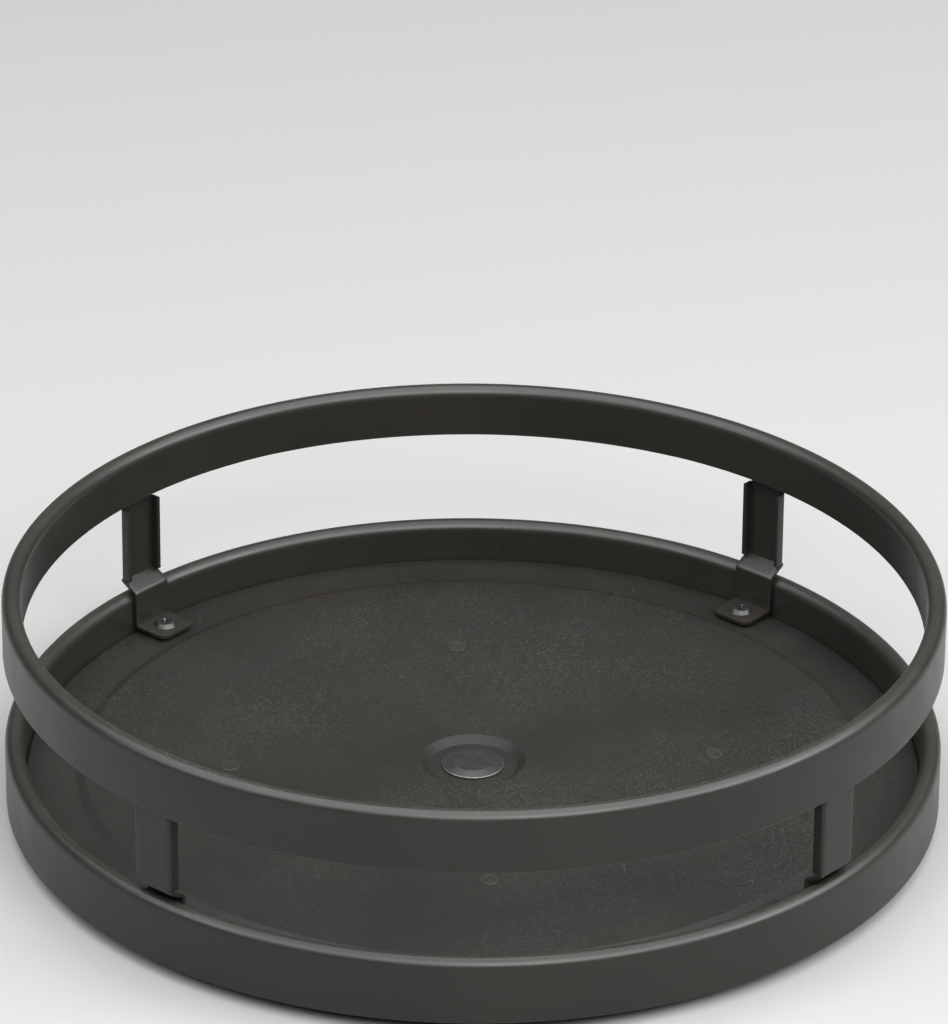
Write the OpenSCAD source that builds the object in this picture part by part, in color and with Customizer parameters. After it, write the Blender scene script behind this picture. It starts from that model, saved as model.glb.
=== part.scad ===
// Lazy susan turntable: a round steel tray with a folded rim and a raised guard rail,
// which spins on a caged ball bearing over a smaller base plate with rubber feet.
// Millimetres, +Z up. The origin is on the spin axis, in the plane that the feet stand on.

/* [Tray] */
// Outside diameter of the tray rim and of the guard rail
tray_d = 300; // [270:1:360]
// Height of the rim band, from its lower edge to the top of its fold
rim_h = 21.5; // [19:0.5:30]
// Clear height of the windows between the rim and the guard rail
window_h = 30.8; // [20:0.1:60]
// Height of the guard rail band
rail_h = 20; // [14:0.5:30]
// Gap between the surface that the feet stand on and the rim's lower edge
ground_gap = 5; // [4:0.5:6]
// Sheet thickness of the folded bands
band_t = 0.8; // [0.6:0.1:1]
// Room to spare inside each band's fold, behind a post's tab
fold_slack = 3.2; // [0:0.1:4]

/* [Floor] */
// Sheet thickness of the tray floor
floor_t = 1; // [0.8:0.1:1.2]
// Height of the floor's raised field above its outer gutter
field_rise = 1; // [0.5:0.1:1.5]
// Width of the gutter between the raised field and the rim
gutter_w = 16; // [15.5:0.5:22]

/* [Posts] */
// Width of each post's face
post_w = 15; // [12:0.5:18]
// Sheet thickness of a post
post_t = 1.2; // [1:0.1:1.2]
// Depth of a post's side flanges, over the face
post_depth = 3.8; // [3:0.1:5]

/* [Bearing] */
// Radius of the ball track
track_r = 70; // [64:1:72]
// Diameter of a bearing ball
ball_d = 6; // [5.8:0.1:6]
// Number of bearing balls
ball_count = 24; // [16:1:28]

/* [Base] */
// Diameter of the base plate
base_d = 210; // [206:1:236]
// Diameter of a foot's pad
foot_d = 18; // [14:1:20]

/* [Hidden] */
$fn = 96;

coat = [0.20, 0.20, 0.19];
zinc = [0.72, 0.73, 0.75];
nylon = [0.86, 0.85, 0.80];
rubber = [0.09, 0.09, 0.09];

tray_r = tray_d / 2;
rim_top = ground_gap + rim_h;
rail_z = rim_top + window_h;
rail_top = rail_z + rail_h;
post_angles = [-45, 45, 135, 225];
bend_steps = 5;

// How far a cutting shape runs past a surface, and how far joined shapes run into each other
past = 1;
join = 0.1;

// Each fold takes a post's tab between its two layers, with some room to spare
pocket_gap = 0.02;
pocket_r = tray_r - band_t;
tab_sagitta = pocket_r - sqrt(pow(pocket_r, 2) - pow(post_w / 2, 2));
fold_w = 2 * band_t + post_t + tab_sagitta + 2 * pocket_gap + fold_slack;
return_gap = 3;
band_inner_r = tray_r - fold_w;

// Levels of the bearing stack, from the standing plane up
pad_h = 3;
base_t = 1;
plate_top = pad_h + base_t;
race_h = 3;
race_gap = 3;
lower_race_top = plate_top + race_h;
upper_race_z = lower_race_top + race_gap;
field_under = upper_race_z + race_h;
field_top = field_under + floor_t;
gutter_top = field_top - field_rise;
ball_z = (lower_race_top + upper_race_z) / 2;
groove_gap = 0.15;
groove_r = ball_d / 2 + groove_gap;
race_half_w = 11;
race_rivet_offset = 8;
race_rivet_count = 4;
race_rivet_r = 1.6;
race_rivet_head_r = 2.8;
race_rivet_head_h = 0.8;
race_rivet_bevel = 0.8;
flush_head_r = 3.2;

// Floor outline: central well, raised field, gutter, and a flange down inside the rim
step_run = 3;
field_r = band_inner_r - gutter_w - step_run;
flange_drop = 6;
floor_bend_r = 1.2;
well_r = 14;
well_run = 3;
well_depth = 2;
well_top = field_top - well_depth;
well_under = well_top - floor_t;

// Post: the face lies just inside the guard rail's outer layer, the leg just inside the rim
leg_gap = 0.25;
post_face_r = pocket_r - tab_sagitta - pocket_gap;
leg_face_r = sqrt(pow(band_inner_r, 2) - pow(post_w / 2, 2)) - leg_gap;
tab_shoulder = 1.5;
tab_w = post_w - 2 * tab_shoulder;
post_bend_r = 0.7;
joggle_clear = 0.6;
joggle_h = 3.2;
joggle_bottom = rim_top + joggle_clear;
joggle_top = joggle_bottom + joggle_h;
channel_end_gap = 0.4;
channel_bottom = joggle_top + channel_end_gap;
channel_top = rail_z - channel_end_gap;
tab_drop = 6;
tab_top = rail_top - tab_drop;
leg_overlap = 1;
foot_tab = 13;

// Post screws and nuts
screw_inset = 7.2;
screw_reach = 5.4;
screw_r = leg_face_r - screw_inset;
screw_shank_r = 1.95;
screw_hole_r = 2.15;
screw_point = 0.6;
screw_head_r = 4;
screw_head_h = 2.5;
screw_side_h = 0.9;
screw_shoulder = 1.6;
recess_l = 4.2;
recess_w = 0.8;
recess_depth = 1.3;
screw_tip_z = gutter_top - screw_reach;
nut_gap = 0.05;
nut_h = 3.2;
nut_flats = 7;

// Pivot
bolt_r = 4;
bolt_hole_r = 4.1;
bushing_bore_r = 4.05;
bushing_r = 5.5;
pivot_flange_r = 11;
bolt_head_r = 10;
bolt_head_h = 1.7;
bolt_side_h = 0.5;
bolt_shoulder = 4;
bolt_point = 0.7;
bolt_reach = 0.4;
running_gap = 0.2;
thrust_washer_h = 0.6;
bushing_flange_h = 1.6;
hub_top = well_under - thrust_washer_h - running_gap - bushing_flange_h;
hub_under = hub_top - base_t;
bushing_reach = 0.4;
bushing_end = hub_under - bushing_reach;
pivot_washer_h = 1.4;
pivot_washer_bore_r = 4.2;
pivot_washer_z = bushing_end - running_gap - pivot_washer_h;
pivot_nut_h = 2.7;
pivot_collar_h = 1.3;
pivot_nut_flats = 13;
pivot_nut_bore_r = 4.02;
pivot_collar_inset = 0.6;
pivot_nut_z = pivot_washer_z - pivot_nut_h - pivot_collar_h;
bolt_tip_z = pivot_nut_z - bolt_reach;

// Base
base_r = base_d / 2;
foot_count = 6;
hub_r = 34;
hub_run = 8;
base_bend_r = 1.5;
lip_h = 3.5;
foot_inset = 14;
foot_r = base_r - foot_inset;
foot_neck_r = 3.5;
foot_head_r = 5;
foot_head_h = 1.6;
foot_head_side = 0.8;
foot_head_taper = 0.3;
foot_head_bevel = 1.6;
foot_pad_taper = 0.6;
foot_pad_corner = [[1, 0], [0.3, 0.3], [0, 1]];

function unit(v) = v / norm(v);

// Points of the arc of radius r that rounds the corner b of the path a, b, c
function bend(a, b, c, r) =
    let (
        u = unit(a - b),
        w = unit(c - b),
        half = acos(u * w) / 2,
        centre = b + unit(u + w) * r / sin(half),
        from = b + u * r / tan(half) - centre,
        to = b + w * r / tan(half) - centre,
        sweep = 180 - 2 * half
    )
    [for (i = [0:bend_steps])
        let (s = i / bend_steps)
        centre + (from * sin((1 - s) * sweep) + to * sin(s * sweep)) / sin(sweep)];

// A path with every inner corner rounded to the radius r
function rounded(path, r) = [
    path[0],
    for (i = [1:len(path) - 2]) each bend(path[i - 1], path[i], path[i + 1], r),
    path[len(path) - 1]
];

function normal(a, b) = let (d = unit(b - a)) [-d.y, d.x];

// Offset direction of point i, lengthened at a corner so that the sheet keeps its thickness
function miter(path, i) =
    let (
        n0 = normal(path[max(i - 1, 0)], path[max(i, 1)]),
        n1 = normal(path[min(i, len(path) - 2)], path[min(i + 1, len(path) - 1)]),
        m = unit(n0 + n1)
    )
    m / (m * n0);

// Outline of a sheet of thickness t along the middle line of a bent section
function sheet(path, t) = concat(
    [for (i = [0:len(path) - 1]) path[i] + miter(path, i) * t / 2],
    [for (i = [len(path) - 1:-1:0]) path[i] - miter(path, i) * t / 2]
);

module turned_sheet(path, t, bend_r) {
    rotate_extrude() polygon(sheet(rounded(path, bend_r), t));
}

// Runs the children at each of count places round the spin axis, at radius r
module round_axis(count, r, first = 0) {
    for (i = [0:count - 1]) rotate([0, 0, first + i * 360 / count]) translate([r, 0, 0]) children();
}

module hexagon_bar(flats, h) {
    cylinder(r = flats / sqrt(3), h = h, $fn = 6);
}

// Section of a strip h high, folded over at the top, about the centre of its fold
module folded_section(h) {
    fold_r = fold_w / 2;
    layer_h = h - fold_r;
    translate([fold_r - band_t, -layer_h]) square([band_t, layer_h]);
    translate([-fold_r, return_gap - layer_h]) square([band_t, layer_h - return_gap]);
    intersection() {
        difference() {
            circle(r = fold_r);
            circle(r = fold_r - band_t);
        }
        translate([-fold_r, 0]) square([2 * fold_r, fold_r]);
    }
}

module folded_band(z0, h) {
    rotate_extrude() translate([tray_r - fold_w / 2, z0 + h - fold_w / 2]) folded_section(h);
}

module guard_rail() {
    color(coat) folded_band(rail_z, rail_h);
}

module tray_rim() {
    color(coat) folded_band(ground_gap, rim_h);
}

module tray_floor() {
    half_t = floor_t / 2;
    color(coat) difference() {
        turned_sheet(
            [
                [bolt_hole_r, well_top - half_t],
                [well_r, well_top - half_t],
                [well_r + well_run, field_top - half_t],
                [field_r, field_top - half_t],
                [field_r + step_run, gutter_top - half_t],
                [band_inner_r - half_t, gutter_top - half_t],
                [band_inner_r - half_t, gutter_top - flange_drop]
            ],
            floor_t, floor_bend_r
        );
        for (a = post_angles) rotate([0, 0, a])
            translate([screw_r, 0, gutter_top - floor_t - past])
                cylinder(r = screw_hole_r, h = floor_t + 2 * past);
        round_axis(race_rivet_count, track_r + race_rivet_offset) flush_rivet_hole();
    }
}

module flush_rivet_hole() {
    translate([0, 0, field_under - past]) cylinder(r = race_rivet_r, h = floor_t + 2 * past);
    translate([0, 0, field_under]) cylinder(r1 = race_rivet_r, r2 = flush_head_r, h = floor_t);
}

// Channel-section face, a joggle inwards above the rim, a leg inside the rim and a foot tab
module post(a) {
    color(coat) rotate([0, 0, a]) difference() {
        union() {
            post_tab();
            post_channel();
            post_leg();
        }
        translate([screw_r, 0, gutter_top - past]) cylinder(r = screw_hole_r, h = post_t + 2 * past);
    }
}

// Narrow tongue that runs up behind the face and into the guard rail's fold
module post_tab() {
    translate([post_face_r - post_t, -tab_w / 2, joggle_top])
        cube([post_t, tab_w, tab_top - joggle_top]);
}

module post_channel() {
    face = post_face_r - post_t / 2;
    flange_y = (post_w - post_t) / 2;
    path = [
        [post_face_r - post_depth, -flange_y],
        [face, -flange_y],
        [face, flange_y],
        [post_face_r - post_depth, flange_y]
    ];
    translate([0, 0, channel_bottom]) linear_extrude(channel_top - channel_bottom)
        polygon(sheet(rounded(path, post_bend_r), post_t));
}

module post_leg() {
    face = post_face_r - post_t / 2;
    leg = leg_face_r - post_t / 2;
    foot_z = gutter_top + post_t / 2;
    path = [
        [face, channel_bottom + leg_overlap],
        [face, joggle_top],
        [leg, joggle_bottom],
        [leg, foot_z],
        [leg - foot_tab, foot_z]
    ];
    rotate([90, 0, 0]) linear_extrude(post_w, center = true)
        polygon(sheet(rounded(path, post_bend_r), post_t));
}

// Points of a flat-topped head of radius r and height h, with a straight side and a round shoulder
function head_profile(r, h, side_h, shoulder) = concat(
    [[r, 0], [r, side_h]],
    [for (a = [15:15:90]) [r - shoulder * (1 - cos(a)), side_h + (h - side_h) * sin(a)]],
    [[0, h]]
);

// Points of a shaft of radius r that hangs down from z = 0, with a bevelled point
function shaft_profile(r, length, point) =
    [[0, -length], [r - point, -length], [r, point - length], [r, 0]];

// Pan-head screw with a cross recess; z = 0 is under the head
module pan_head_screw(shank) {
    head = head_profile(screw_head_r, screw_head_h, screw_side_h, screw_shoulder);
    difference() {
        rotate_extrude() polygon(concat(shaft_profile(screw_shank_r, shank, screw_point), head));
        for (a = [0, 90]) rotate([0, 0, a])
            translate([-recess_l / 2, -recess_w / 2, screw_head_h - recess_depth])
                cube([recess_l, recess_w, recess_depth + past]);
    }
}

module post_screws() {
    color(coat) for (a = post_angles) rotate([0, 0, a])
        translate([screw_r, 0, gutter_top + post_t])
            pan_head_screw(gutter_top + post_t - screw_tip_z);
}

module post_nuts() {
    color(zinc) for (a = post_angles) rotate([0, 0, a])
        translate([screw_r, 0, gutter_top - floor_t - nut_h]) difference() {
            hexagon_bar(nut_flats, nut_h);
            translate([0, 0, -past]) cylinder(r = screw_shank_r + nut_gap, h = nut_h + 2 * past);
        }
}

// Flat ring with a ball groove in its top face and a circle of rivet holes; z = 0 is its underside
module race(rivet_offset) {
    difference() {
        rotate_extrude() difference() {
            translate([track_r - race_half_w, 0]) square([2 * race_half_w, race_h]);
            translate([track_r, race_h + race_gap / 2]) circle(r = groove_r);
        }
        round_axis(race_rivet_count, track_r + rivet_offset)
            translate([0, 0, -past]) cylinder(r = race_rivet_r, h = race_h + 2 * past);
    }
}

module upper_race() {
    color(zinc) translate([0, 0, field_under]) mirror([0, 0, 1]) race(race_rivet_offset);
}

module lower_race() {
    color(zinc) translate([0, 0, plate_top]) race(-race_rivet_offset);
}

// Low round rivet head, standing up from z = 0
module rivet_head() {
    cylinder(r = race_rivet_head_r, h = race_rivet_head_h / 2);
    translate([0, 0, race_rivet_head_h / 2])
        cylinder(
            r1 = race_rivet_head_r, r2 = race_rivet_head_r - race_rivet_bevel, h = race_rivet_head_h / 2
        );
}

module upper_race_rivets() {
    color(coat) round_axis(race_rivet_count, track_r + race_rivet_offset) {
        translate([0, 0, upper_race_z]) mirror([0, 0, 1]) rivet_head();
        translate([0, 0, upper_race_z - join])
            cylinder(r = race_rivet_r, h = field_top - upper_race_z);
        translate([0, 0, field_under]) cylinder(r1 = race_rivet_r, r2 = flush_head_r, h = floor_t);
    }
}

module lower_race_rivets() {
    color(zinc) round_axis(race_rivet_count, track_r - race_rivet_offset) {
        translate([0, 0, pad_h]) mirror([0, 0, 1]) rivet_head();
        translate([0, 0, pad_h - join]) cylinder(r = race_rivet_r, h = base_t + race_h + 2 * join);
        translate([0, 0, lower_race_top]) rivet_head();
    }
}

module ball_cage() {
    cage_h = 2.2;
    cage_half_w = 4.2;
    color(nylon) difference() {
        translate([0, 0, ball_z - cage_h / 2]) rotate_extrude()
            translate([track_r - cage_half_w, 0]) square([2 * cage_half_w, cage_h]);
        round_axis(ball_count, track_r)
            translate([0, 0, ball_z - cage_h]) cylinder(r = groove_r, h = 2 * cage_h);
    }
}

module bearing_balls() {
    color(zinc) round_axis(ball_count, track_r) translate([0, 0, ball_z]) sphere(d = ball_d);
}

module pivot_bolt() {
    shank = well_top - bolt_tip_z;
    head = head_profile(bolt_head_r, bolt_head_h, bolt_side_h, bolt_shoulder);
    color(coat) translate([0, 0, well_top]) rotate_extrude()
        polygon(concat(shaft_profile(bolt_r, shank, bolt_point), head));
}

module ring(outer_r, inner_r, h) {
    difference() {
        cylinder(r = outer_r, h = h);
        translate([0, 0, -past]) cylinder(r = inner_r, h = h + 2 * past);
    }
}

module thrust_washer() {
    color(nylon) translate([0, 0, well_under - thrust_washer_h])
        ring(pivot_flange_r, bolt_hole_r, thrust_washer_h);
}

module pivot_bushing() {
    color(nylon) difference() {
        union() {
            translate([0, 0, hub_top]) cylinder(r = pivot_flange_r, h = bushing_flange_h);
            translate([0, 0, bushing_end]) cylinder(r = bushing_r, h = hub_top - bushing_end + join);
        }
        translate([0, 0, bushing_end - past])
            cylinder(r = bushing_bore_r, h = hub_top + bushing_flange_h - bushing_end + 2 * past);
    }
}

module pivot_washer() {
    color(zinc) translate([0, 0, pivot_washer_z]) ring(bolt_head_r, pivot_washer_bore_r, pivot_washer_h);
}

// Hexagon lock nut with the round collar of its nylon insert underneath
module pivot_nut() {
    color(zinc) translate([0, 0, pivot_nut_z]) difference() {
        union() {
            translate([0, 0, pivot_collar_h]) hexagon_bar(pivot_nut_flats, pivot_nut_h);
            cylinder(r = pivot_nut_flats / 2 - pivot_collar_inset, h = pivot_collar_h + join);
        }
        translate([0, 0, -past])
            cylinder(r = pivot_nut_bore_r, h = pivot_collar_h + pivot_nut_h + 2 * past);
    }
}

module base_plate() {
    half_t = base_t / 2;
    color(coat) difference() {
        turned_sheet(
            [
                [bushing_r, hub_top - half_t],
                [hub_r, hub_top - half_t],
                [hub_r + hub_run, plate_top - half_t],
                [base_r - half_t, plate_top - half_t],
                [base_r - half_t, plate_top + lip_h]
            ],
            base_t, base_bend_r
        );
        round_axis(foot_count, foot_r, 90)
            translate([0, 0, pad_h - past]) cylinder(r = foot_neck_r, h = base_t + 2 * past);
        round_axis(race_rivet_count, track_r - race_rivet_offset)
            translate([0, 0, pad_h - past]) cylinder(r = race_rivet_r, h = base_t + 2 * past);
    }
}

// Push-in rubber bumper: a pad under the plate, a neck through it and a head above it
module foot(i) {
    pad_r = foot_d / 2;
    pad = [
        [0, 0],
        for (p = foot_pad_corner) [pad_r - p.x, p.y],
        [pad_r - foot_pad_taper, pad_h]
    ];
    neck = [[foot_neck_r, pad_h], [foot_neck_r, plate_top]];
    head = [
        [foot_head_r, plate_top],
        [foot_head_r - foot_head_taper, plate_top + foot_head_side],
        [foot_head_r - foot_head_bevel, plate_top + foot_head_h],
        [0, plate_top + foot_head_h]
    ];
    color(rubber) rotate([0, 0, 90 + (i - 1) * 360 / foot_count]) translate([foot_r, 0, 0])
        rotate_extrude() polygon(concat(pad, neck, head));
}

guard_rail();
tray_rim();
tray_floor();
post(post_angles[0]);  // post_front_right
post(post_angles[1]);  // post_rear_right
post(post_angles[2]);  // post_rear_left
post(post_angles[3]);  // post_front_left
post_screws();
post_nuts();
upper_race();
upper_race_rivets();
ball_cage();
bearing_balls();
lower_race();
lower_race_rivets();
pivot_bolt();
thrust_washer();
pivot_bushing();
pivot_washer();
pivot_nut();
base_plate();
foot(1);  // foot_1
foot(2);  // foot_2
foot(3);  // foot_3
foot(4);  // foot_4
foot(5);  // foot_5
foot(6);  // foot_6
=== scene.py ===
import math

import bmesh
import bpy
from mathutils import Matrix, Vector


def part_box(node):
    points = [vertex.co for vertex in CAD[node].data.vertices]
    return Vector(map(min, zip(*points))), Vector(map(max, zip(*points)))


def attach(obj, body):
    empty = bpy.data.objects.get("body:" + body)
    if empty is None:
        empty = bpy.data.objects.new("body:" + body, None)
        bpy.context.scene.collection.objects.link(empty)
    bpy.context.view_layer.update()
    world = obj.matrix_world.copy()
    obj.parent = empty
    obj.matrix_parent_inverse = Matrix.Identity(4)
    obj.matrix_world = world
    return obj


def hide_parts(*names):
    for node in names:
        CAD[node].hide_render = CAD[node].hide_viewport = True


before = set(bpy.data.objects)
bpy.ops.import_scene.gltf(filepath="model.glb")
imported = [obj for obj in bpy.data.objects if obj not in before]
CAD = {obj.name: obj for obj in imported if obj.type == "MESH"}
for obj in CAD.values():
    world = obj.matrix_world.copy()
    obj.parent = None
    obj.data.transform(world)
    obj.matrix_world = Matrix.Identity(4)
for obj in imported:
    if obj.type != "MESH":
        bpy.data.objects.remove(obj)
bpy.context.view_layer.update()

# Lazy susan turntable: the looks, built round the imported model. Everything is in metres.
# A turned piece is an outline of (radius, height) points, swept round the spin axis.
# In a list of corners, the third number is the corner's fillet.

# Sheet thicknesses, as in the CAD model
BAND_T = 0.0008
POST_T = 0.0012
FLOOR_T = 0.001
BASE_T = 0.001

# Fillets of cut edges and of a post's bends
CUT_EDGE = 0.0002
POST_BEND = 0.0011

# Segments in an arc, how far from an arc its extra points lie, and how near two vertices are
# when they become one
ARC_STEPS = 6
HOLD = 0.0004
MERGE = 1e-7

# Where the posts stand, and where the two bands were welded into hoops, in degrees from +X
POSTS = {"post_front_right": -45, "post_rear_right": 45, "post_rear_left": 135, "post_front_left": 225}
FIRST_POST = POSTS["post_rear_right"]
RAIL_SEAM = 100
RIM_SEAM = 82

# Pieces that repeat in a ring
RIVETS = 4
FEET = 6
BALLS = 24


# ---------------------------------------------------------------- measures taken from the frame

def turned_box(node, angle):
    """A CAD node's lowest and highest corner, once it is turned back by angle degrees."""
    back = Matrix.Rotation(-math.radians(angle), 3, "Z")
    points = [back @ v.co for v in CAD[node].data.vertices]
    low = Vector([min(p[i] for p in points) for i in range(3)])
    high = Vector([max(p[i] for p in points) for i in range(3)])
    return low, high


def ring_places(count, radius, first=0):
    """Matrices that move a piece from the spin axis to count places on a circle.
    The first place is in degrees from +X."""
    return [
        Matrix.Rotation(math.radians(first + i * 360 / count), 4, "Z") @ Matrix.Translation((radius, 0, 0))
        for i in range(count)
    ]


# ---------------------------------------------------------------- outlines and meshes

def rounded(corners, closed=True, steps=ARC_STEPS):
    """Outline through (radius, height, fillet) corners, with each corner rounded to its fillet.
    Where there is room, an extra point lies just before and after an arc, so that wear stays there."""
    outline = []
    last = len(corners) - 1
    for i, (x, z, fillet) in enumerate(corners):
        here = Vector((x, z))
        if fillet == 0 or (not closed and i in (0, last)):
            outline.append(here)
            continue
        back = Vector(corners[i - 1][:2]) - here
        ahead = Vector(corners[(i + 1) % len(corners)][:2]) - here
        half = back.angle(ahead) / 2
        reach = fillet / math.tan(half)
        centre = here + (back.normalized() + ahead.normalized()).normalized() * fillet / math.sin(half)
        start = here + back.normalized() * reach - centre
        end = here + ahead.normalized() * reach - centre
        sweep = start.angle(end)
        room = 2 * reach + 3 * HOLD
        if back.length > room:
            outline.append(here + back.normalized() * (reach + HOLD))
        for k in range(steps + 1):
            s = k / steps
            spoke = (start * math.sin((1 - s) * sweep) + end * math.sin(s * sweep)) / math.sin(sweep)
            outline.append(centre + spoke)
        if ahead.length > room:
            outline.append(here + ahead.normalized() * (reach + HOLD))
    return outline


def even_angles(count):
    """Directions to sweep an outline through, evenly spaced round the circle."""
    return [2 * math.pi * i / count for i in range(count)]


def skin(bm, columns, closed=True):
    """Faces between each column of vertices and the next one round the axis."""
    count = len(columns[0])
    for column, other in zip(columns, columns[1:] + columns[:1]):
        for i in range(count if closed else count - 1):
            k = (i + 1) % count
            bm.faces.new((column[i], other[i], other[k], column[k]))


def ribbon(bm, lines):
    """Faces between each line of vertices and the next one."""
    for a, b in zip(lines, lines[1:]):
        for i in range(len(a) - 1):
            bm.faces.new((a[i], a[i + 1], b[i + 1], b[i]))


def clean(bm):
    """Merges vertices that meet and makes the normals face outwards."""
    bmesh.ops.remove_doubles(bm, verts=bm.verts, dist=MERGE)
    bmesh.ops.recalc_face_normals(bm, faces=bm.faces)


def turn(bm, outline, angles, closed=True, sway=None, place=None):
    """Sweeps an outline round the Z axis. sway(angle) draws the radius in; place moves the result."""
    columns = []
    for a in angles:
        draw = sway(a) if sway else 0
        columns.append([
            bm.verts.new(((p.x - draw) * math.cos(a), (p.x - draw) * math.sin(a), p.y)) for p in outline
        ])
    skin(bm, columns, closed)
    if place:
        bmesh.ops.transform(bm, matrix=place, verts=[v for column in columns for v in column])


def mean_curvature(vert):
    """Mean curvature at a vertex, in 1/m, positive where the surface is convex."""
    smallest_area = 1e-12
    area = sum(f.calc_area() / len(f.verts) for f in vert.link_faces)
    bend = sum(e.calc_length() * e.calc_face_angle_signed(0) for e in vert.link_edges)
    return bend / (4 * area) if area > smallest_area else 0


def paint_wear(bm):
    """Stores in the attribute "wear" how sharply convex the surface is, on a log scale from 0 to 1.
    Its two ends are powers of ten of the curvature."""
    unworn, worn = 2.0, 3.3
    layer = bm.verts.layers.float.new("wear")
    for v in bm.verts:
        bend = max(mean_curvature(v), 1)
        v[layer] = min(max((math.log10(bend) - unworn) / (worn - unworn), 0), 1)


def add_piece(name, bm, body, replaced, material, sharp=35):
    """Turns bm into a piece that rides on a body and stands for the replaced CAD nodes.
    An edge is drawn sharp where it bends by more than sharp degrees."""
    clean(bm)
    for face in bm.faces:
        face.smooth = True
    for edge in bm.edges:
        edge.smooth = len(edge.link_faces) == 2 and edge.calc_face_angle() < math.radians(sharp)
    paint_wear(bm)
    mesh = bpy.data.meshes.new(name)
    bm.to_mesh(mesh)
    bm.free()
    piece = bpy.data.objects.new(name, mesh)
    bpy.context.scene.collection.objects.link(piece)
    mesh.materials.append(material)
    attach(piece, body)
    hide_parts(*replaced)


def with_modifiers(bm, add):
    """Runs the mesh through the modifiers that add(piece) puts on it, and returns the result."""
    mesh = bpy.data.meshes.new("scratch")
    bm.to_mesh(mesh)
    bm.free()
    scratch = bpy.data.objects.new("scratch", mesh)
    bpy.context.scene.collection.objects.link(scratch)
    add(scratch)
    bpy.context.view_layer.update()
    shaped = scratch.evaluated_get(bpy.context.evaluated_depsgraph_get())
    result = bmesh.new()
    result.from_mesh(shaped.to_mesh())
    shaped.to_mesh_clear()
    bpy.data.objects.remove(scratch)
    return result


def cut_out(bm, tool, crossing=False):
    """Cuts the tool out of bm. crossing says that solids in the tool run through each other."""
    mesh = bpy.data.meshes.new("tool")
    tool.to_mesh(mesh)
    tool.free()
    cutter = bpy.data.objects.new("tool", mesh)
    bpy.context.scene.collection.objects.link(cutter)

    def cut(piece):
        modifier = piece.modifiers.new("cut", "BOOLEAN")
        modifier.object = cutter
        modifier.operation = "DIFFERENCE"
        modifier.solver = "EXACT"
        modifier.use_self = crossing

    clean(bm)
    result = with_modifiers(bm, cut)
    bpy.data.objects.remove(cutter)
    return result


def drilled(bm, holes):
    """Cuts each hole, an (outline, places) pair whose outline starts and ends on its axis."""
    tool = bmesh.new()
    for outline, places in holes:
        for place in places:
            turn(tool, outline, even_angles(48), closed=False, place=place)
    clean(tool)
    return cut_out(bm, tool)


def round_hole(radius, low, high):
    """Outline of a plain hole, which runs past both sides of the sheet that it goes through."""
    past = 0.001
    bottom, top = low - past, high + past
    return [Vector(p) for p in ((0, bottom), (radius, bottom), (radius, top), (0, top))]


# ---------------------------------------------------------------- materials

def add_node(tree, kind, inputs=None, **settings):
    """Adds a shader node. An input that is a socket is linked, and any other value is set."""
    made = tree.nodes.new(kind)
    for key, value in settings.items():
        setattr(made, key, value)
    for key, value in (inputs or {}).items():
        if isinstance(value, bpy.types.NodeSocket):
            tree.links.new(value, made.inputs[key])
        else:
            made.inputs[key].default_value = value
    return made


def new_material(name):
    """A new material, its node tree and its Principled shader."""
    material = bpy.data.materials.new(name)
    material.use_nodes = True
    tree = material.node_tree
    return material, tree, tree.nodes["Principled BSDF"]


def object_space(tree, stretch):
    """Object coordinates, scaled along each axis."""
    coords = add_node(tree, "ShaderNodeTexCoord").outputs["Object"]
    return add_node(tree, "ShaderNodeMapping", {"Vector": coords, "Scale": stretch}).outputs["Vector"]


def noise(tree, scale, detail=2, stretch=(1, 1, 1), rough=0.5):
    """Noise from 0 to 1, fixed to the piece. A higher stretch packs it tighter along that axis."""
    inputs = {"Vector": object_space(tree, stretch), "Scale": scale, "Detail": detail, "Roughness": rough}
    return add_node(tree, "ShaderNodeTexNoise", inputs).outputs["Fac"]


def remap(tree, value, low, high, to_low, to_high):
    """Moves a value's range of low to high to another range, and stops at its ends."""
    inputs = {"Value": value, "From Min": low, "From Max": high, "To Min": to_low, "To Max": to_high}
    return add_node(tree, "ShaderNodeMapRange", inputs).outputs["Result"]


def maths(tree, operation, a, b):
    return add_node(tree, "ShaderNodeMath", {0: a, 1: b}, operation=operation).outputs[0]


def mix_colour(tree, factor, a, b):
    """Mixes two colours. Socket names repeat on this node, so its colour sockets go by number."""
    factor_in, a_in, b_in, colour_out = 0, 6, 7, 2
    inputs = {factor_in: factor, a_in: a, b_in: b}
    return add_node(tree, "ShaderNodeMix", inputs, data_type="RGBA").outputs[colour_out]


def bump(tree, height, distance, strength):
    inputs = {"Height": height, "Distance": distance, "Strength": strength}
    return add_node(tree, "ShaderNodeBump", inputs).outputs["Normal"]


def worn_edges(tree, grain_scale=420, bite=0.45):
    """Mask of the convex edges, from the wear attribute, broken up by a fine grain.
    bite is how far the grain pushes the wear over its threshold."""
    wear = add_node(tree, "ShaderNodeAttribute", attribute_name="wear").outputs["Fac"]
    grain = noise(tree, grain_scale, 5, rough=0.7)
    return remap(tree, maths(tree, "ADD", wear, maths(tree, "MULTIPLY", grain, bite)), 0.95, 1.35, 0, 1)


def settled_dust(tree):
    """Mask of fine specks on the surfaces that face up."""
    normal = add_node(tree, "ShaderNodeNewGeometry").outputs["Normal"]
    upward = add_node(tree, "ShaderNodeSeparateXYZ", {"Vector": normal}).outputs["Z"]
    specks = remap(tree, noise(tree, 2600, 1), 0.62, 0.72, 0, 1)
    clouds = remap(tree, noise(tree, 14, 3), 0.4, 0.7, 0.2, 1)
    patches = maths(tree, "MULTIPLY", specks, clouds)
    return maths(tree, "MULTIPLY", patches, remap(tree, upward, 0.7, 1, 0, 1))


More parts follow.
